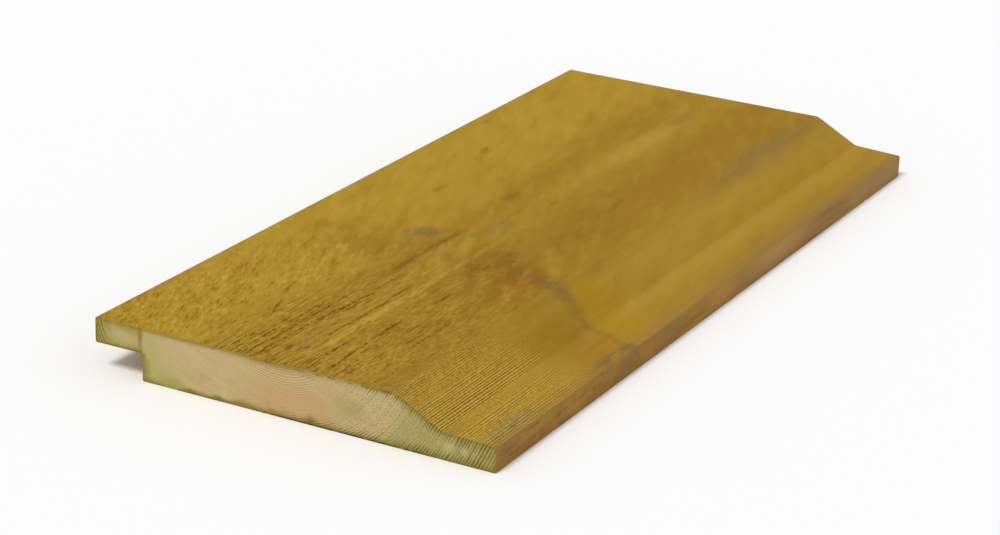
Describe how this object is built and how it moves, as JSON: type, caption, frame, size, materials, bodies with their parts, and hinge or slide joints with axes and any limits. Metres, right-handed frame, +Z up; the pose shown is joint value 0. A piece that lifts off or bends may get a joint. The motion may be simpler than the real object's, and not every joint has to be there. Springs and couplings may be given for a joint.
{
  "type": "double rebated cladding board",
  "caption": "Flat softwood cladding board with a sawn face, a rebate cut in the back along one edge and a bevelled lip along the other, so that boards lap on a wall.",
  "frame": {"origin": "middle of the board's length and width, on the plane of the back face that it lies on", "axes": "+X across the board from the face lip's edge to the back lip's edge, +Y along the grain, +Z up from the back face to the sawn face"},
  "size_m": [0.145, 0.325, 0.018],
  "materials": {
    "treated_softwood": "sawn face and moulded edges, pressure treated, uncoated"
  },
  "bodies": {
    "root": {"cladding_board": "treated_softwood"}
  },
  "joints": []
}
